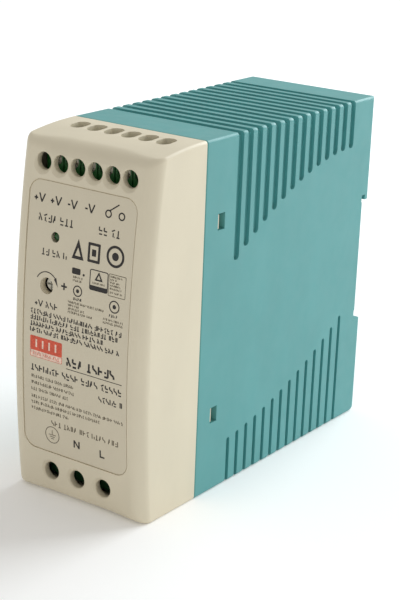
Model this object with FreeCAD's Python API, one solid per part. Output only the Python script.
"""A narrow DIN rail power supply in its own frame, in millimetres.

+X is to the right seen from the front, +Y points back into the rail, +Z is up.
The origin is the centre of the rail seat, where the front of the rail's flanges rests.
"""
import FreeCAD, Part
import math
import os

V = FreeCAD.Vector
X_AXIS = V(1, 0, 0)
Y_AXIS = V(0, 1, 0)
Z_AXIS = V(0, 0, 1)

# Whole object
WIDTH = 40.0
HEIGHT = 90.0
DEPTH = 100.0
RAIL_RECESS = 3.2            # depth of the recess in the back that takes the rail
RAIL_CENTRE = 45.5           # height of the rail's centreline above the bottom

# Front cover
COVER_DEPTH = 23.0           # from the foremost point to the seam
COVER_WALL = 2.0
FRONT_R = 325.0              # gentle bow of the front face
BOW_HEIGHT = 37.0            # height of its foremost point
TOP_R = 97.0                 # droop of the cover's top towards the front
TOP_CORNER_R = 5.5
BOTTOM_CORNER_R = 4.2
SIDE_CORNER_R = 3.6
BEND_R = 3.3                 # what both corners have shrunk to where the front meets the sides
BLEND_START = 8.0            # the front corners are constant as far out as this
SEAM_EDGE_R = 0.8
SEAM_CHAMFER = 0.25
SCREW_HOLE_RIM = 0.5
ENTRY_LENGTH = 5.6           # wire entries, along the depth
ENTRY_WIDTH = 3.9

# Printed panel
PANEL_HALF = 16.0
PANEL_LOW = 12.0
PANEL_HIGH = 79.2
PANEL_R = 3.5
PANEL_DEPTH = 0.4
LABEL_THICK = 0.25
LED_X = -7.2
LED_HEIGHT = 66.3
LED_HOLE_R = 1.25
TRIMMER_X = -9.0
TRIMMER_HEIGHT = 54.3
TRIMMER_HOLE_R = 2.0

# Rear case
CASE_WALL = 2.0
CASE_EDGE_R = 0.8
REAR_BOTTOM_R = 1.5
GROOVE_COUNT = 14
GROOVE_START = 36.7          # first groove's centre, from the front
GROOVE_PITCH = 4.0
GROOVE_DEPTH = 1.0
UPPER_GROOVE_WIDTH = 2.2
LOWER_GROOVE_WIDTH = 1.3
VENT_OUTER = 16.0            # the vents run between these two distances from the middle
VENT_INNER = 1.5
WINDOW_START = 28.3
WINDOW_DEPTH = 2.8
WINDOW_HEIGHT = 4.1
WINDOW_OFFSET = 24.6         # above and below mid-height

# Rail recess and latch
SEAT_RISE = 0.3              # the seat stands this much out of the recess floor
SEAT_LOW = 30.5
SEAT_HIGH = 61.3
RECESS_LOW = 27.7
RECESS_HIGH = 63.3
LIP_LOW = 61.9
LIP_FRONT = 1.3
LATCH_GAP = 0.25

# Terminals: distances along the screw are counted back from the block's front face
OUTPUT_PITCH = 5.08
OUTPUT_HEIGHT = 83.2
OUTPUT_FRONT = 7.8
INPUT_PITCH = 8.0
INPUT_HEIGHT = 6.8
INPUT_FRONT = 6.0
BLOCK_BACK = 20.4
HEAD_START = 0.6
HEAD_LENGTH = 1.4
NUT_START = 5.4
NUT_THICK = 1.0
TAB_START = 6.6
TAB_THICK = 0.6
WIRE_GAP = 3.4
CAGE_FLOOR = 0.8

# Boards
FRONT_BOARD_START = 20.6
BOARD_THICK = 1.6
BOARD_TOP_X = -14.0          # component side of the main board
LEAD_STICK_OUT = 0.6
MAIN_BOARD_START = 26.5
MAIN_BOARD_END = 93.0

HALF = WIDTH / 2
Y_FRONT = RAIL_RECESS - DEPTH
Y_REAR = RAIL_RECESS
Z_BOTTOM = -RAIL_CENTRE
Z_TOP = HEIGHT - RAIL_CENTRE
Y_SEAM = Y_FRONT + COVER_DEPTH
BOARD_BACK_X = BOARD_TOP_X - BOARD_THICK
LEAD_END_X = BOARD_BACK_X - LEAD_STICK_OUT


# ---------------------------------------------------------------- helpers

def back(distance):
    """Y of a point that lies this far behind the foremost point of the cover."""
    return Y_FRONT + distance


def up(height):
    """Z of a point this high above the bottom of the case."""
    return Z_BOTTOM + height


def box(x, y, z):
    """A box from its (low, high) spans along X, Y and Z."""
    low = V(x[0], y[0], z[0])
    return Part.makeBox(x[1] - x[0], y[1] - y[0], z[1] - z[0], low)


def centred_box(centre, size):
    corner = V(*centre) - V(*size) * 0.5
    return Part.makeBox(size[0], size[1], size[2], corner)


def rod(radius, start, end):
    """A cylinder between two points."""
    start = V(*start)
    along = V(*end) - start
    return Part.makeCylinder(radius, along.Length, start, along)


def tube(outer, inner, start, end):
    return rod(outer, start, end).cut(rod(inner, start, end))


def mirrored(shape):
    """The same shape on the other side of the middle plane."""
    return shape.mirror(V(0, 0, 0), X_AXIS)


def compound(shapes):
    return Part.makeCompound(list(shapes))


def fused(shapes):
    shapes = list(shapes)
    if len(shapes) == 1:
        return shapes[0]
    return shapes[0].multiFuse(shapes[1:]).removeSplitter()


def face_of(edges):
    return Part.Face(Part.Wire(edges))


def line(start, end):
    return Part.LineSegment(V(*start), V(*end)).toShape()


def arc(start, middle, end):
    return Part.Arc(V(*start), V(*middle), V(*end)).toShape()


def edges_where(shape, test):
    """The edges whose two ends and middle all pass the test."""
    chosen = []
    for edge in shape.Edges:
        middle = edge.valueAt((edge.FirstParameter + edge.LastParameter) / 2)
        points = [vertex.Point for vertex in edge.Vertexes] + [middle]
        if all(test(point) for point in points):
            chosen.append(edge)
    return chosen


def near(value, target, slack=1e-4):
    return abs(value - target) < slack


def rounded_plate(x, z, radius, y):
    """A plate in the XZ plane with rounded corners, from y[0] to y[1]."""
    plate = box(x, y, z)
    corners = edges_where(
        plate, lambda p: min(abs(p.x - x[0]), abs(p.x - x[1])) < 1e-4
        and min(abs(p.z - z[0]), abs(p.z - z[1])) < 1e-4)
    return plate.makeFillet(radius, corners)


# ---------------------------------------------------------------- front cover

def circle_meet(centre_a, radius_a, centre_b, radius_b):
    """The crossing of two circles that lies furthest forward, as (y, z)."""
    dy = centre_b[0] - centre_a[0]
    dz = centre_b[1] - centre_a[1]
    gap = math.hypot(dy, dz)
    along = (radius_a ** 2 - radius_b ** 2 + gap ** 2) / (2 * gap)
    aside = math.sqrt(radius_a ** 2 - along ** 2)
    foot = (centre_a[0] + along * dy / gap, centre_a[1] + along * dz / gap)
    crossings = [
        (foot[0] + side * aside * dz / gap, foot[1] - side * aside * dy / gap)
        for side in (-1, 1)
    ]
    return min(crossings)


FRONT_CENTRE = (back(FRONT_R), up(BOW_HEIGHT))
TOP_CENTRE = (Y_SEAM, Z_TOP - TOP_R)


def corner_centres(top_r, bottom_r):
    """Centres of the profile's top and bottom front corners."""
    top = circle_meet(FRONT_CENTRE, FRONT_R - top_r, TOP_CENTRE, TOP_R - top_r)
    drop = Z_BOTTOM + bottom_r - FRONT_CENTRE[1]
    bottom_y = FRONT_CENTRE[0] - math.sqrt((FRONT_R - bottom_r) ** 2 - drop ** 2)
    return top, (bottom_y, Z_BOTTOM + bottom_r)


def bearing(centre, point):
    return math.atan2(point[1] - centre[1], point[0] - centre[0])


def profile_point(centre, radius, angle):
    return (0, centre[0] + radius * math.cos(angle), centre[1] + radius * math.sin(angle))


def profile_arc(centre, radius, start, end):
    """An arc in the YZ plane between two bearings, the short way round."""
    while end - start > math.pi:
        end -= 2 * math.pi
    while start - end > math.pi:
        end += 2 * math.pi
    angles = (start, (start + end) / 2, end)
    return arc(*[profile_point(centre, radius, angle) for angle in angles])


def cover_profile(inset, y_back):
    """The cover's side outline, moved inwards, as a face in the YZ plane."""
    top, bottom = corner_centres(TOP_CORNER_R, BOTTOM_CORNER_R)
    at_seam = math.pi / 2
    top_turn = bearing(TOP_CENTRE, top)
    front_top = bearing(FRONT_CENTRE, top)
    front_bottom = bearing(FRONT_CENTRE, bottom)
    down = -math.pi / 2
    top_z = Z_TOP - inset
    bottom_z = Z_BOTTOM + inset
    edges = [
        profile_arc(TOP_CENTRE, TOP_R - inset, at_seam, top_turn),
        profile_arc(top, TOP_CORNER_R - inset, top_turn, front_top),
        profile_arc(FRONT_CENTRE, FRONT_R - inset, front_top, front_bottom),
        profile_arc(bottom, BOTTOM_CORNER_R - inset, front_bottom, down),
        line((0, bottom[0], bottom_z), (0, y_back, bottom_z)),
        line((0, y_back, bottom_z), (0, y_back, top_z)),
    ]
    if y_back > Y_SEAM:
        edges.append(line((0, y_back, top_z), (0, Y_SEAM, top_z)))
    return face_of(edges)


def extruded(face, x_low, x_high):
    """A YZ face drawn out along X."""
    moved = face.copy()
    moved.translate(V(x_low, 0, 0))
    return moved.extrude(V(x_high - x_low, 0, 0))


def sharp_profile():
    """The cover's side outline before its two front corners are rounded."""
    top = circle_meet(FRONT_CENTRE, FRONT_R, TOP_CENTRE, TOP_R)
    drop = Z_BOTTOM - FRONT_CENTRE[1]
    bottom = (FRONT_CENTRE[0] - math.sqrt(FRONT_R ** 2 - drop ** 2), Z_BOTTOM)
    return face_of([
        profile_arc(TOP_CENTRE, TOP_R, math.pi / 2, bearing(TOP_CENTRE, top)),
        profile_arc(FRONT_CENTRE, FRONT_R, bearing(FRONT_CENTRE, top), bearing(FRONT_CENTRE, bottom)),
        line((0, *bottom), (0, Y_SEAM, Z_BOTTOM)),
        line((0, Y_SEAM, Z_BOTTOM), (0, Y_SEAM, Z_TOP)),
    ])


def corner_edges(slab, x_low, x_high, z_side):
    """The edges of a slab's top (1) or bottom (-1) front corner between two places along X."""
    return [
        edge for edge in slab.Edges
        if near(max(v.Point.x for v in edge.Vertexes), x_high)
        and near(min(v.Point.x for v in edge.Vertexes), x_low)
        and all((v.Point.z - up(HEIGHT / 2)) * z_side > 0 for v in edge.Vertexes)
        and all(v.Point.y < back(12.0) for v in edge.Vertexes)
    ]


def cover_cheeks():
    """The cover's right-hand part. Its front corners shrink towards the side and end crisp at the seam."""
    flat_end = HALF - SIDE_CORNER_R
    join = flat_end - 0.3
    inner = extruded(sharp_profile(), BLEND_START, join)
    outer = extruded(sharp_profile(), join, HALF)
    upright = edges_where(outer, lambda p: near(p.x, HALF) and p.y < back(6.0))
    outer = outer.makeFillet(SIDE_CORNER_R, upright)
    for z_side, radius in ((1, TOP_CORNER_R), (-1, BOTTOM_CORNER_R)):
        inner = inner.makeFillet(radius, BEND_R, corner_edges(inner, BLEND_START, join, z_side))
        outer = outer.makeFillet(BEND_R, SEAM_EDGE_R, corner_edges(outer, flat_end, HALF, z_side))
    return [inner, outer]


def cover_outside():
    middle = extruded(cover_profile(0, Y_SEAM), -BLEND_START, BLEND_START)
    cheeks = cover_cheeks()
    body = fused([middle, *cheeks, *[mirrored(cheek) for cheek in cheeks]])
    rim = edges_where(body, lambda p: near(p.y, Y_SEAM))
    return body.makeChamfer(SEAM_CHAMFER, rim)


def cover_inside(wall, y_back):
    """The hollow of the cover, with softly rounded front corners."""
    half = HALF - wall
    core = extruded(cover_profile(wall, y_back), -half, half)
    upright = edges_where(
        core, lambda p: near(abs(p.x), half) and p.y < Y_SEAM - 0.01)
    return core.makeFillet(SIDE_CORNER_R - wall, upright)


def panel_layer(x_half, z_low, z_high, radius, depth_in, depth_out):
    """A curved sheet that follows the front face between two depths below it."""
    block = rounded_plate(
        (-x_half, x_half), (up(z_low), up(z_high)), radius, (back(-3), back(12)))
    centre = (0, *FRONT_CENTRE)
    ends = [(side * (HALF + 1), centre[1], centre[2]) for side in (-1, 1)]
    outer = rod(FRONT_R - depth_out, *ends)
    return block.common(outer).cut(rod(FRONT_R - depth_in, *ends))


def output_xs():
    return [OUTPUT_PITCH * (i - 2.5) for i in range(6)]


def input_xs():
    return [INPUT_PITCH * (i - 1) for i in range(3)]


def screw_hole(x, height, radius):
    """A round hole through the front wall with a softened rim."""
    z = up(height)
    hole = rod(radius, (x, back(-2), z), (x, back(9), z))
    surface = FRONT_CENTRE[0] - math.sqrt(FRONT_R ** 2 - (z - FRONT_CENTRE[1]) ** 2)
    rim = Part.makeCone(
        radius + SCREW_HOLE_RIM + 1.0, radius, SCREW_HOLE_RIM + 1.0, V(x, surface - 1.0, z), Y_AXIS)
    return hole.fuse(rim)


def oblong(x, y_centre, z, width, length):
    """A wire entry: an oblong with round ends, long along Y, cut from z[0] to z[1]."""
    straight = (length - width) / 2
    middle = box(
        (x - width / 2, x + width / 2), (y_centre - straight, y_centre + straight), z)
    ends = [
        rod(width / 2, (x, y_centre + side * straight, z[0]), (x, y_centre + side * straight, z[1]))
        for side in (-1, 1)
    ]
    return fused([middle, *ends])


def entry_middle(front):
    """Y of the middle of a terminal's wire gap."""
    return back(front + TAB_START + TAB_THICK + WIRE_GAP / 2)


def cover_openings():
    cuts = [screw_hole(x, OUTPUT_HEIGHT, 2.15) for x in output_xs()]
    cuts += [screw_hole(x, INPUT_HEIGHT, 2.25) for x in input_xs()]
    for x in output_xs():
        cuts.append(oblong(x, entry_middle(OUTPUT_FRONT), (up(84), up(92)), ENTRY_WIDTH, ENTRY_LENGTH))
    for x in input_xs():
        cuts.append(oblong(x, entry_middle(INPUT_FRONT), (up(-2), up(6)), ENTRY_WIDTH, ENTRY_LENGTH))
    led_z = up(LED_HEIGHT)
    cuts.append(rod(1.6, (LED_X, back(-2), led_z), (LED_X, back(9), led_z)))
    trimmer_z = up(TRIMMER_HEIGHT)
    cuts.append(rod(TRIMMER_HOLE_R, (TRIMMER_X, back(-2), trimmer_z), (TRIMMER_X, back(9), trimmer_z)))
    return cuts


def snap_arm(z_centre):
    """A springy arm behind the right-hand wall with a barb for the case's window."""
    outer = HALF - CASE_WALL - 0.15
    inner = outer - 1.3
    arm = box((inner, outer), (Y_SEAM - 4.0, back(32.0)), (z_centre - 2.6, z_centre + 2.6))
    start = back(WINDOW_START) + 0.3
    end = start + WINDOW_DEPTH - 0.6
    z_half = WINDOW_HEIGHT / 2 - 0.3
    crest = HALF - 0.35
    barb = face_of([
        line((outer, start, z_centre - z_half), (crest, start, z_centre - z_half)),
        line((crest, start, z_centre - z_half), (crest, start + 0.5, z_centre - z_half)),
        line((crest, start + 0.5, z_centre - z_half), (outer, end, z_centre - z_half)),
        line((outer, end, z_centre - z_half), (outer, start, z_centre - z_half)),
    ]).extrude(V(0, 0, 2 * z_half))
    root = box((inner, HALF - CASE_WALL), (Y_SEAM - 4.0, Y_SEAM), (z_centre - 2.6, z_centre + 2.6))
    return fused([arm, root, barb])


def spigot():
    """The thin collar on the back of the cover that locates it inside the case."""
    x_out = HALF - CASE_WALL - 0.15
    z_out = HEIGHT / 2 - CASE_WALL - 0.15
    middle = up(HEIGHT / 2)
    outer = box((-x_out, x_out), (Y_SEAM - 0.6, Y_SEAM + 3.0), (middle - z_out, middle + z_out))
    step = box(
        (-HALF + 1.8, HALF - 1.8), (Y_SEAM - 0.6, Y_SEAM),
        (Z_BOTTOM + 1.8, Z_TOP - 1.8))
    hollow = box(
        (-x_out + 1.2, x_out - 1.2), (Y_SEAM - 1.0, Y_SEAM + 4.0),
        (middle - z_out + 1.2, middle + z_out - 1.2))
    gaps = [
        box((-HALF, HALF), (Y_SEAM, Y_SEAM + 4.0), (middle + z - 3.2, middle + z + 3.2))
        for z in (-WINDOW_OFFSET, WINDOW_OFFSET)
    ]
    return fused([outer, step]).cut(compound([hollow])).cut(compound(gaps))


def front_cover():
    shell = cover_outside().cut(cover_inside(COVER_WALL, Y_SEAM + 1.0))
    arms = []
    for z_side in (-1, 1):
        arm = snap_arm(up(HEIGHT / 2 + z_side * WINDOW_OFFSET))
        arms += [arm, mirrored(arm)]
    body = fused([shell, spigot(), *arms])
    body = body.cut(compound(cover_openings()))
    recess = panel_layer(PANEL_HALF, PANEL_LOW, PANEL_HIGH, PANEL_R, PANEL_DEPTH, -1.5)
    return body.cut(recess)


def front_label():
    margin = 0.25
    depth = PANEL_DEPTH
    sheet = panel_layer(
        PANEL_HALF - margin, PANEL_LOW + margin, PANEL_HIGH - margin, PANEL_R - margin,
        depth, depth - LABEL_THICK)
    led_z = up(LED_HEIGHT)
    trimmer_z = up(TRIMMER_HEIGHT)
    return sheet.cut(compound([
        rod(LED_HOLE_R, (LED_X, back(-2), led_z), (LED_X, back(9), led_z)),
        rod(TRIMMER_HOLE_R, (TRIMMER_X, back(-2), trimmer_z), (TRIMMER_X, back(9), trimmer_z)),
    ]))


# ---------------------------------------------------------------- rear case

def groove_ys():
    return [back(GROOVE_START + GROOVE_PITCH * i) for i in range(GROOVE_COUNT)]


def upper_groove_end(i):
    """Height of the lower end of an upper groove: the front one is the longest, the rear one the shortest."""
    share = i / (GROOVE_COUNT - 1)
    return 58.5 + 19.1 * math.sin(share * math.pi / 2) ** 0.92


def lower_groove_end(i):
    """Height of the upper end of a lower groove: the rear one is the longest."""
    share = i / (GROOVE_COUNT - 1)
    return 12.1 + 18.9 * (0.36 * share + 0.64 * share ** 2)


def groove_cutters(width, ends, z_far, z_near):
    """Stadium slabs that run the full width and past the top or bottom, for every groove."""
    radius = width / 2
    cutters = []
    for y, end in zip(groove_ys(), ends):
        round_z = up(end) + math.copysign(radius, z_far - up(end))
        straight = box((-HALF - 1, HALF + 1), (y - radius, y + radius), sorted((round_z, z_far)))
        tip = rod(radius, (-HALF - 1, y, round_z), (HALF + 1, y, round_z))
        cutters.append(straight.fuse(tip))
    keep = box(
        (-HALF + GROOVE_DEPTH, HALF - GROOVE_DEPTH), (Y_SEAM, Y_REAR + 1), sorted((z_near, 0.0)))
    return [cutter.cut(keep) for cutter in cutters]


def case_grooves():
    steps = range(GROOVE_COUNT)
    upper = groove_cutters(
        UPPER_GROOVE_WIDTH, [upper_groove_end(i) for i in steps], Z_TOP + 1, Z_TOP - GROOVE_DEPTH)
    lower = groove_cutters(
        LOWER_GROOVE_WIDTH, [lower_groove_end(i) for i in steps], Z_BOTTOM - 1, Z_BOTTOM + GROOVE_DEPTH)
    return upper + lower


def case_vents():
    """Slots through the floors of the top and bottom grooves, in two rows."""
    cuts = []
    for y in groove_ys():
        for side in (-1, 1):
            x = sorted((side * VENT_INNER, side * VENT_OUTER))
            cuts.append(box(x, (y - 0.6, y + 0.6), (Z_TOP - 5, Z_TOP + 1)))
            if y < back(88):
                cuts.append(box(x, (y - 0.4, y + 0.4), (Z_BOTTOM - 1, Z_BOTTOM + 5)))
    return cuts


def case_outside():
    body = box((-HALF, HALF), (Y_SEAM, Y_REAR), (Z_BOTTOM, Z_TOP))
    foot = edges_where(body, lambda p: near(p.y, Y_REAR) and near(p.z, Z_BOTTOM))
    body = body.makeFillet(REAR_BOTTOM_R, foot)
    rest = [edge for edge in body.Edges
            if not all(near(v.Point.y, Y_SEAM) for v in edge.Vertexes)
            and any(abs(v.Point.y - Y_SEAM) < 1e-4 for v in edge.Vertexes)]
    body = body.makeFillet(CASE_EDGE_R, rest)
    rim = edges_where(body, lambda p: near(p.y, Y_SEAM))
    return body.makeChamfer(SEAM_CHAMFER, rim)


def case_inside():
    inner = HALF - CASE_WALL
    main = box((-inner, inner), (Y_SEAM - 1, -3.0), (Z_BOTTOM + CASE_WALL, Z_TOP - CASE_WALL))
    upper_rear = box((-inner, inner), (-3.1, Y_REAR - CASE_WALL), (up(67.0), Z_TOP - CASE_WALL))
    return [main, upper_rear]


def rail_recess():
    """The cut that takes the rail: a raised seat stands in it and a lip overhangs its upper end."""
    floor = -SEAT_RISE
    wide = (-HALF - 1, HALF + 1)
    open_part = box(wide, (floor, Y_REAR + 1), (up(RECESS_LOW), up(LIP_LOW)))
    behind_lip = box(wide, (floor, LIP_FRONT), (up(LIP_LOW) - 0.1, up(RECESS_HIGH)))
    seat = box((-HALF, HALF), (floor - 0.5, 0), (up(SEAT_LOW), up(SEAT_HIGH)))
    return fused([open_part, behind_lip]).cut(seat)


LATCH_WIDE = 8.95
LATCH_NARROW = 6.75
LATCH_FRONT = -1.35
LATCH_STEP = 0.75
LATCH_BACK = 3.0
LATCH_FOOT = up(2.0)
LATCH_SHOULDER = up(27.1)
LATCH_TIP = up(29.3)
PEG_LOW = up(9.8)
PEG_HIGH = up(11.8)
POCKET_LOW = PEG_LOW - 0.1
POCKET_HIGH = up(21.5)
POCKET_HALF = 1.9
SPRING_R = 1.3
SPRING_WIRE_R = 0.2
SPRING_TURNS = 8


def latch_channel():
    gap = LATCH_GAP
    span = (Z_BOTTOM - 1, up(RECESS_LOW) + 1)
    wide_half = LATCH_WIDE + gap
    narrow_half = LATCH_NARROW + gap
    return fused([
        box((-wide_half, wide_half), (LATCH_FRONT - gap, LATCH_STEP + gap), span),
        box((-narrow_half, narrow_half), (0, Y_REAR + 1), span),
    ])


def latch_peg():
    """The stop in the channel: the latch's pocket runs over it and the spring stands on it."""
    half = POCKET_HALF - 0.25
    return box((-half, half), (LATCH_FRONT - LATCH_GAP - 0.2, 1.6), (PEG_LOW, PEG_HIGH))


def board_guides():
    """Pairs of ribs that hold the long edges of the main board."""
    ribs = []
    for x in ((BOARD_BACK_X - 1.0, BOARD_BACK_X - 0.15), (BOARD_TOP_X + 0.15, BOARD_TOP_X + 1.0)):
        for z in ((Z_BOTTOM + CASE_WALL - 0.1, up(5.0)), (up(85.0), Z_TOP - CASE_WALL + 0.1)):
            ribs.append(box(x, (back(34.0), back(MAIN_BOARD_END)), z))
    return ribs


def case_windows():
    y = (back(WINDOW_START), back(WINDOW_START + WINDOW_DEPTH))
    return [
        box((-HALF - 1, HALF + 1), y, (z - WINDOW_HEIGHT / 2, z + WINDOW_HEIGHT / 2))
        for z in (up(HEIGHT / 2 - WINDOW_OFFSET), up(HEIGHT / 2 + WINDOW_OFFSET))
    ]


def rear_case():
    body = case_outside()
    for cut in case_inside():
        body = body.cut(cut)
    body = fused([body, *board_guides()])
    body = body.cut(compound(case_grooves()))
    body = body.cut(compound(case_vents()))
    body = body.cut(compound(case_windows()))
    body = body.cut(rail_recess())
    body = body.cut(latch_channel())
    return fused([body, latch_peg()])


# ---------------------------------------------------------------- latch

def din_latch():
    """A T-shaped slide whose sloping tongue holds the rail's lower edge."""
    flange = box((-LATCH_WIDE, LATCH_WIDE), (LATCH_FRONT, LATCH_STEP), (LATCH_FOOT, LATCH_SHOULDER))
    rib = box((-LATCH_NARROW, LATCH_NARROW), (LATCH_STEP - 0.1, LATCH_BACK), (LATCH_FOOT, LATCH_SHOULDER))
    tongue = face_of([
        line((0, LIP_FRONT, LATCH_SHOULDER - 0.1), (0, LATCH_BACK, LATCH_SHOULDER - 0.1)),
        line((0, LATCH_BACK, LATCH_SHOULDER - 0.1), (0, LATCH_BACK, LATCH_SHOULDER + 0.6)),
        line((0, LATCH_BACK, LATCH_SHOULDER + 0.6), (0, LIP_FRONT + 0.4, LATCH_TIP)),
        line((0, LIP_FRONT + 0.4, LATCH_TIP), (0, LIP_FRONT, LATCH_TIP)),
        line((0, LIP_FRONT, LATCH_TIP), (0, LIP_FRONT, LATCH_SHOULDER - 0.1)),
    ])
    body = fused([flange, rib, extruded(tongue, -LATCH_NARROW, LATCH_NARROW)])
    pocket = box((-POCKET_HALF, POCKET_HALF), (LATCH_FRONT - 1, 1.9), (POCKET_LOW, POCKET_HIGH))
    pull_slot = box((-3.2, 3.2), (LATCH_FRONT - 1, LATCH_BACK + 1), (LATCH_FOOT + 1.4, LATCH_FOOT + 4.0))
    return body.cut(compound([pocket, pull_slot]))


def latch_spring():
    """A compression spring between the peg and the top of the latch's pocket."""
    low = PEG_HIGH + SPRING_WIRE_R + 0.03
    length = POCKET_HIGH - PEG_HIGH - 2 * SPRING_WIRE_R - 0.06
    helix = Part.makeHelix(length / SPRING_TURNS, length, SPRING_R)
    ring = Part.Wire([Part.Circle(V(SPRING_R, 0, 0), Y_AXIS, SPRING_WIRE_R).toShape()])
    coil = Part.Wire(helix).makePipeShell([ring], True, True)
    coil.translate(V(0, 0.3, low))
    return coil


# ---------------------------------------------------------------- terminals

def terminal_z(height, entry, offset):
    """Z of a point that lies this far from the screw's axis towards the wire entry."""
    return up(height) + entry * offset


def z_span(height, entry, low, high):
    return sorted((terminal_z(height, entry, low), terminal_z(height, entry, high)))


def clamp_screw(x, height, front, head_r, shank_r):
    """A slotted screw that stays in place while the cage travels along it."""
    z = up(height)
    head_y = back(front + HEAD_START)
    shank_y = head_y + HEAD_LENGTH
    tip_y = back(front + TAB_START - 0.1)
    head = rod(head_r, (x, head_y, z), (x, shank_y, z))
    head = head.makeChamfer(0.2, edges_where(head, lambda p: near(p.y, head_y)))
    shank = rod(shank_r, (x, shank_y - 0.1, z), (x, tip_y, z))
    shank = shank.makeChamfer(0.25, edges_where(shank, lambda p: near(p.y, tip_y)))
    body = fused([head, shank])
    angle = 28.0 + 47.0 * x
    slot = box((-head_r, head_r), (head_y - 1, head_y + 0.75), (-0.32, 0.32))
    slot.rotate(V(0, 0, 0), Y_AXIS, angle)
    slot.translate(V(x, 0, z))
    return body.cut(slot)


def clamp_cage(x, height, front, entry, half, shank_r):
    """A rectangular loop: its threaded end rides on the screw and its floor clamps the wire."""
    y_nut = back(front + NUT_START)
    y_inner = y_nut + NUT_THICK
    y_floor = back(front + TAB_START + TAB_THICK + WIRE_GAP)
    side = 0.4
    z = z_span(height, entry, -2.3, 2.2)
    loop = box((x - half, x + half), (y_nut, y_floor + CAGE_FLOOR), z)
    loop = loop.makeFillet(0.35, edges_where(loop, lambda p: near(abs(p.x - x), half) and (
        near(p.y, y_nut) or near(p.y, y_floor + CAGE_FLOOR))))
    inside = box((x - half + side, x + half - side), (y_inner, y_floor), (z[0] - 1, z[1] + 1))
    thread = rod(shank_r + 0.04, (x, y_nut - 1, up(height)), (x, y_inner + 0.1, up(height)))
    teeth = [
        box((x - half + side, x + half - side), (y_floor - 0.2, y_floor), (z_tooth - 0.15, z_tooth + 0.15))
        for z_tooth in (terminal_z(height, entry, offset) for offset in (-1.2, -0.2, 0.8))
    ]
    return fused([loop.cut(compound([inside, thread])), *teeth])


def terminal_tab(x, height, front, entry, half):
    """The fixed contact strip with its solder pin through the front board."""
    y_tab = back(front + TAB_START)
    strip = box((x - half, x + half), (y_tab, y_tab + TAB_THICK), z_span(height, entry, -8.4, 1.8))
    pin = box((x - 0.5, x + 0.5), (y_tab, back(FRONT_BOARD_START + BOARD_THICK + 0.9)),
              z_span(height, entry, -8.4, -7.6))
    return fused([strip, pin])


def terminal_block(xs, pitch, height, front, entry, cage_half, head_r):
    """The moulded block: a pocket a pole, open away from the wire entry for the cage."""
    x_half = pitch * len(xs) / 2
    y = (back(front), back(BLOCK_BACK))
    z = z_span(height, entry, -10.2, 3.7)
    block = box((-x_half, x_half), y, z)
    z_entry = terminal_z(height, entry, 3.7)
    block = block.makeChamfer(1.3, edges_where(block, lambda p: near(p.y, y[0]) and near(p.z, z_entry)))
    cuts = []
    for x in xs:
        screw_z = up(height)
        pocket_half = cage_half + 0.15
        pocket_y = (back(front + HEAD_START + HEAD_LENGTH + 0.2),
                    back(front + TAB_START + TAB_THICK + WIRE_GAP + CAGE_FLOOR + 0.3))
        cuts.append(box((x - pocket_half, x + pocket_half), pocket_y, z_span(height, entry, -11.0, 2.5)))
        cuts.append(rod(head_r + 0.12, (x, y[0] - 1, screw_z), (x, pocket_y[0] + 0.1, screw_z)))
        entry_y = back(front + TAB_START + TAB_THICK)
        cuts.append(box((x - ENTRY_WIDTH / 2 + 0.1, x + ENTRY_WIDTH / 2 - 0.1),
                        (entry_y + 0.1, entry_y + WIRE_GAP), z_span(height, entry, 2.0, 5.0)))
        cuts.append(box((x - 0.6, x + 0.6), (pocket_y[1] - 0.1, y[1] + 1), z_span(height, entry, -11.0, -7.4)))
    for x in xs[:-1]:
        middle = x + pitch / 2
        cuts.append(box((middle - 0.2, middle + 0.2), (y[0] - 1, y[0] + 0.5), (z[0] - 1, z[1] + 1)))
    return block.cut(compound(cuts))


def terminal_row(name, xs, pitch, place, cage_half, screw_radii, tab_half):
    """One block with its tabs, screws and cages. place = (height, front, entry side)."""
    height, front, entry = place
    head_r, shank_r = screw_radii
    row = {
        name + "_terminal_housing": terminal_block(xs, pitch, height, front, entry, cage_half, head_r),
        name + "_terminal_tabs": compound(terminal_tab(x, height, front, entry, tab_half) for x in xs),
    }
    for number, x in enumerate(xs, 1):
        row[f"{name}_screw_{number}"] = clamp_screw(x, height, front, head_r, shank_r)
        row[f"{name}_cage_{number}"] = clamp_cage(x, height, front, entry, cage_half, shank_r)
    return row


# ---------------------------------------------------------------- indicator and trimmer

def status_led():
    z = up(LED_HEIGHT)
    dome_y = back(3.4)
    radius = 1.45
    body = rod(radius, (LED_X, dome_y, z), (LED_X, back(6.7), z))
    dome = Part.makeSphere(radius, V(LED_X, dome_y, z))
    flange = rod(1.9, (LED_X, back(6.6), z), (LED_X, back(7.6), z))
    leads = [
        box((LED_X + dx - 0.25, LED_X + dx + 0.25), (back(7.5), back(23.0)), (z - 0.25, z + 0.25))
        for dx in (-0.64, 0.64)
    ]
    return fused([body, dome, flange, *leads])


def led_spacer():
    z = up(LED_HEIGHT)
    return tube(2.4, 1.1, (LED_X, back(7.65), z), (LED_X, back(FRONT_BOARD_START), z))


def trimmer_body():
    z = up(TRIMMER_HEIGHT)
    front = back(15.6)
    case = centred_box((TRIMMER_X, (front + back(FRONT_BOARD_START)) / 2, z), (6.6, 5.0, 6.6))
    leads = [
        centred_box((TRIMMER_X + dx, back(21.7), z + dz), (0.5, 2.4, 0.5))
        for dx, dz in ((-2.5, -2.0), (0.0, 2.0), (2.5, -2.0))
    ]
    socket = rod(1.65, (TRIMMER_X, front - 1, z), (TRIMMER_X, back(19.0), z))
    return fused([case, *leads]).cut(socket)


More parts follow.
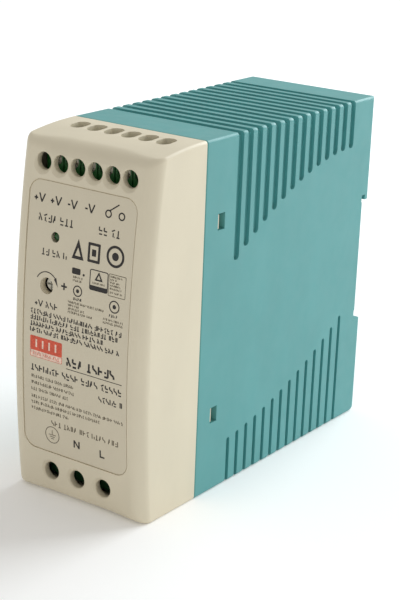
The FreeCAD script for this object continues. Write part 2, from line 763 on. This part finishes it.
def trimmer_rotor():
    """The spindle that a screwdriver turns, with a cross recess in its end."""
    z = up(TRIMMER_HEIGHT)
    tip = back(2.4)
    shaft = rod(1.6, (TRIMMER_X, tip, z), (TRIMMER_X, back(18.9), z))
    shaft = shaft.makeChamfer(0.25, edges_where(shaft, lambda p: near(p.y, tip)))
    cross = [
        centred_box((TRIMMER_X, tip + 0.4, z), size)
        for size in ((2.7, 1.0, 0.55), (0.55, 1.0, 2.7))
    ]
    return shaft.cut(fused(cross))


# ---------------------------------------------------------------- main board parts
# Each stands on the board's component side and is placed by its distance back and its height.

def on_board(y, z, x=0.0):
    """A point above the main board, x millimetres off its surface."""
    return (BOARD_TOP_X + x, back(y), up(z))


def lead(y, z, reach, width=0.7):
    """A square lead from a height above the board, through it and a little out of the back."""
    x = (LEAD_END_X, BOARD_TOP_X + reach)
    return box(x, (back(y) - width / 2, back(y) + width / 2), (up(z) - width / 2, up(z) + width / 2))


def standing_can(y, z, radius, height, pitch):
    """A cylindrical capacitor or fuse on two leads, with a crimp ring near its foot."""
    can = rod(radius, on_board(y, z, 0.3), on_board(y, z, height))
    can = can.makeFillet(0.5, can.Edges[0:1] + can.Edges[2:3])
    crimp = Part.makeTorus(radius + 0.2, 0.5, V(*on_board(y, z, 2.4)), X_AXIS)
    leads = [lead(y - pitch / 2, z, 0.5), lead(y + pitch / 2, z, 0.5)]
    return fused([can.cut(crimp), *leads])


def leaded_disc(y, z, radius, thick, along_y):
    """A disc that stands on edge on two leads."""
    centre = V(*on_board(y, z, radius + 1.6))
    axis = Y_AXIS if along_y else Z_AXIS
    disc = Part.makeCylinder(radius, thick, centre - axis * (thick / 2), axis)
    disc = disc.makeFillet(min(0.9, thick * 0.3), disc.Edges[0:1] + disc.Edges[2:3])
    spread = radius * 0.6
    if along_y:
        feet = [(y, z - spread), (y, z + spread)]
    else:
        feet = [(y - spread, z), (y + spread, z)]
    return fused([disc, *[lead(fy, fz, radius * 0.6 + 1.6) for fy, fz in feet]])


def block_part(y, z, height, feet, lift=0.3):
    """A moulded block between two (low, high) spans, on leads at the given feet."""
    body = box(
        (BOARD_TOP_X + lift, BOARD_TOP_X + height), (back(y[0]), back(y[1])), (up(z[0]), up(z[1])))
    body = body.makeFillet(0.4, body.Edges)
    return fused([body, *[lead(fy, fz, lift + 0.4) for fy, fz in feet]])


def choke():
    """A toroidal choke lying flat: the core and its two windings."""
    y, z = 37.5, 26.5
    low, high = 1.5, 8.5
    core = tube(7.5, 4.2, on_board(y, z, low), on_board(y, z, high))
    sleeve = tube(8.7, 3.0, on_board(y, z, low - 1.2), on_board(y, z, high + 1.2)).cut(
        tube(7.5, 4.2, on_board(y, z, low), on_board(y, z, high)))
    windings = []
    for side in (-1, 1):
        half_space = box(
            (BOARD_TOP_X, BOARD_TOP_X + 12), (back(y) - 12, back(y) + 12),
            sorted((up(z) + side * 1.8, up(z) + side * 12)))
        feet = [lead(y - 5.6, z + side * 3.0, 0.4), lead(y + 5.6, z + side * 3.0, 0.4)]
        windings.append(fused([sleeve.common(half_space), *feet]))
    return core, compound(windings)


def transistor(y_tab, z, facing):
    """A three-lead power package standing against a heatsink whose face is at y_tab."""
    thick = 4.4
    y = sorted((back(y_tab), back(y_tab) + facing * thick))
    body = box((BOARD_TOP_X + 4.0, BOARD_TOP_X + 13.0), y, (up(z) - 5.0, up(z) + 5.0))
    y_fin = sorted((back(y_tab), back(y_tab) + facing * 1.3))
    fin = box((BOARD_TOP_X + 12.9, BOARD_TOP_X + 19.5), y_fin, (up(z) - 5.0, up(z) + 5.0))
    hole = rod(1.8, on_board(y_tab - 6, z, 16.2), on_board(y_tab + 6, z, 16.2))
    leads = [lead(y_tab + facing * 2.6, z + dz, 4.2) for dz in (-2.54, 0, 2.54)]
    return fused([body, fin, *leads]).cut(hole)


def heatsink(y_face, z_low, z_high, height, facing, z_screw):
    """An aluminium plate with a turned foot at each end; its face carries a transistor."""
    thick = 2.0
    y = sorted((back(y_face), back(y_face) - facing * thick))
    plate = box((BOARD_TOP_X + 0.2, BOARD_TOP_X + height), y, (up(z_low), up(z_high)))
    y_wing = sorted((back(y_face), back(y_face) - facing * 6.0))
    wings = [
        box((BOARD_TOP_X + 0.2, BOARD_TOP_X + height), y_wing, z)
        for z in ((up(z_low), up(z_low) + 1.6), (up(z_high) - 1.6, up(z_high)))
    ]
    hole = rod(1.25, on_board(y_face - 9, z_screw, 16.2), on_board(y_face + 9, z_screw, 16.2))
    legs = [lead(y_face - facing * 1.0, z, 0.4, 1.2) for z in (z_low + 3, z_high - 3)]
    return fused([plate, *wings, *legs]).cut(hole)


def mounting_screw(y_face, z, facing):
    """A pan-head screw through a transistor's tab into its heatsink."""
    head_y = back(y_face) + facing * 1.3
    x = BOARD_TOP_X + 16.2
    head = rod(2.6, (x, head_y, up(z)), (x, head_y + facing * 1.8, up(z)))
    shank = rod(1.25, (x, head_y + facing * 0.1, up(z)), (x, back(y_face) - facing * 1.9, up(z)))
    slot = centred_box((x, head_y + facing * 1.6, up(z)), (6.0, 1.0, 0.7))
    return fused([head, shank]).cut(slot)


def transformer():
    """An E-core pair, its bobbin with pins, and the wound and taped coil between the flanges."""
    y, z = 42.5, 50.0
    low, high = 3.0, 25.0
    centre = on_board(y, z, (low + high) / 2)
    tall = high - low
    leg = 6.5
    core = centred_box(centre, (tall, 25.0, leg))
    for side in (-1, 1):
        window = (centre[0], centre[1] + side * 6.6, centre[2])
        core = core.cut(centred_box(window, (tall - 7.0, 6.0, leg + 1)))
    coil_length = tall - 10.0
    neck = centred_box(centre, (tall - 7.4, leg + 2.2, leg + 2.2))
    flanges = [
        centred_box((centre[0] + side * (tall / 2 - 4.3), centre[1], centre[2]), (1.2, 18.6, 20.0))
        for side in (-1, 1)
    ]
    pin_rails = [
        box((BOARD_TOP_X + 0.3, BOARD_TOP_X + low + 4.3), (back(y) - 9.3, back(y) + 9.3),
            sorted((up(z) + side * 5.6, up(z) + side * 10.0)))
        for side in (-1, 1)
    ]
    pins = [
        lead(y + dy, z + side * 8.0, 0.8) for side in (-1, 1) for dy in (-6.0, -2.0, 2.0, 6.0)
    ]
    tunnel = centred_box(centre, (tall, leg + 0.6, leg + 0.4))
    bobbin = fused([neck, *flanges, *pin_rails, *pins]).cut(tunnel).cut(core)
    coil = centred_box(centre, (coil_length, 17.6, 18.0))
    coil = coil.makeFillet(3.5, [e for e in coil.Edges if near(e.Length, coil_length)])
    coil = coil.cut(centred_box(centre, (tall, leg + 2.2, leg + 2.2)))
    return core, bobbin, coil.cut(core)


def optocoupler():
    feet = [(60.8 + dy, 46.0 + dz) for dy in (0.0, 7.6) for dz in (0.0, 2.54)]
    return block_part((61.6, 67.8), (45.0, 49.6), 4.0, feet)


def snubber_resistor():
    y0, y1, z = 70.0, 80.0, 37.0
    body = rod(1.9, on_board(y0, z, 3.0), on_board(y1, z, 3.0))
    body = body.makeFillet(0.5, body.Edges[0:1] + body.Edges[2:3])
    half = 0.35
    arms = []
    for y_end, outward in ((y0, -1), (y1, 1)):
        y_foot = y_end + outward * 2.0
        inner = back(y_end) - outward * 0.3
        outer = back(y_foot) + outward * half
        arm = box(
            (BOARD_TOP_X + 3.0 - half, BOARD_TOP_X + 3.0 + half),
            sorted((inner, outer)),
            (up(z) - half, up(z) + half))
        arms += [arm, lead(y_foot, z, 3.0)]
    return fused([body, *arms])


def board_header():
    """A right-angle header that joins the two boards."""
    shell = box((-13.0, -10.4), (back(FRONT_BOARD_START + BOARD_THICK), back(24.8)), (up(28.0), up(36.0)))
    pins = []
    for i in range(3):
        z = up(29.4 + 2.54 * i)
        straight = box((-12.0, -11.4), (back(FRONT_BOARD_START - 0.8), back(28.6)), (z - 0.3, z + 0.3))
        turned = box((LEAD_END_X, -11.4), (back(28.0), back(28.6)), (z - 0.3, z + 0.3))
        pins += [straight, turned]
    return fused([shell, *pins])


def write_main_board_parts(parts):
    parts["fuse"] = standing_can(31.8, 10.0, 4.2, 9.0, 5.0)
    parts["inrush_thermistor"] = leaded_disc(40.5, 11.5, 5.2, 4.4, True)
    parts["x_capacitor"] = block_part((46.0, 64.0), (6.0, 14.0), 14.0, [(47.5, 10.0), (62.5, 10.0)])
    parts["choke_core"], parts["choke_windings"] = choke()
    parts["y_capacitors"] = compound(
        leaded_disc(y, 19.5, 3.6, 3.4, True) for y in (51.0, 60.0))
    parts["bridge_rectifier"] = block_part(
        (69.5, 88.5), (6.6, 10.2), 12.0, [(71.4 + 5.08 * i, 8.4) for i in range(4)])
    parts["bulk_capacitor"] = standing_can(80.5, 24.0, 9.0, 28.0, 7.5)
    parts["mosfet"] = transistor(59.5, 33.0, 1)
    parts["mosfet_heatsink"] = heatsink(59.5, 25.5, 40.5, 23.0, 1, 33.0)
    parts["transformer_core"], parts["transformer_bobbin"], parts["transformer_winding"] = transformer()
    parts["optocoupler"] = optocoupler()
    parts["controller_ic"] = block_part(
        (76.0, 82.4), (42.0, 51.8), 4.0,
        [(75.4 + dy, 43.1 + 2.54 * i) for dy in (0.0, 7.6) for i in range(4)])
    parts["snubber_resistor"] = snubber_resistor()
    parts["output_diode"] = transistor(66.0, 62.0, 1)
    parts["diode_heatsink"] = heatsink(66.0, 54.0, 70.0, 23.0, 1, 62.0)
    parts["heatsink_screws"] = compound(
        mounting_screw(y, z, 1) for y, z in ((59.5, 33.0), (66.0, 62.0)))
    parts["output_choke"] = standing_can(64.5, 77.5, 4.5, 13.0, 5.0)
    parts["output_capacitors"] = compound(
        standing_can(y, 76.5, 5.0, 20.0, 5.0) for y in (40.5, 52.5))
    parts["status_relay"] = block_part(
        (74.0, 92.0), (58.0, 68.0), 15.0,
        [(75.8 + 7.2 * i, 59.6 + dz) for i in range(3) for dz in (0.0, 6.6)])


def boards(parts):
    """The two boards, pierced where leads pass through."""
    main = box((BOARD_BACK_X, BOARD_TOP_X), (back(MAIN_BOARD_START), back(MAIN_BOARD_END)), (up(3.0), up(87.0)))
    arms = box((-HALF, -HALF + 6), (back(MAIN_BOARD_START - 1), back(32.6)), (0, 1))
    for z_side in (-1, 1):
        notch = arms.copy()
        notch.translate(V(0, 0, up(HEIGHT / 2 + z_side * WINDOW_OFFSET) - 0.5))
        main = main.cut(notch)
    front = box(
        (-16.2, 16.2), (back(FRONT_BOARD_START), back(FRONT_BOARD_START + BOARD_THICK)), (up(4.5), up(85.5)))
    pierced = [shape for name, shape in parts.items() if "cover" not in name and "case" not in name]
    leads = compound(pierced)
    return front.cut(leads), main.cut(leads)


def build():
    parts = {
        "front_cover": front_cover(),
        "front_label": front_label(),
        "rear_case": rear_case(),
        "din_latch": din_latch(),
        "latch_spring": latch_spring(),
        "status_led": status_led(),
        "led_spacer": led_spacer(),
        "trimmer_body": trimmer_body(),
        "trimmer_rotor": trimmer_rotor(),
        "board_header": board_header(),
    }
    outputs = (OUTPUT_HEIGHT, OUTPUT_FRONT, 1)
    inputs = (INPUT_HEIGHT, INPUT_FRONT, -1)
    parts |= terminal_row("output", output_xs(), OUTPUT_PITCH, outputs, 1.9, (1.8, 1.25), 1.4)
    parts |= terminal_row("input", input_xs(), INPUT_PITCH, inputs, 2.6, (2.1, 1.5), 2.0)
    write_main_board_parts(parts)
    parts["front_pcb"], parts["main_pcb"] = boards(parts)
    return parts


def main():
    os.makedirs("parts", exist_ok=True)
    for name, shape in build().items():
        shape.exportStep(os.path.join("parts", name + ".step"))


if __name__ == "__main__":
    main()
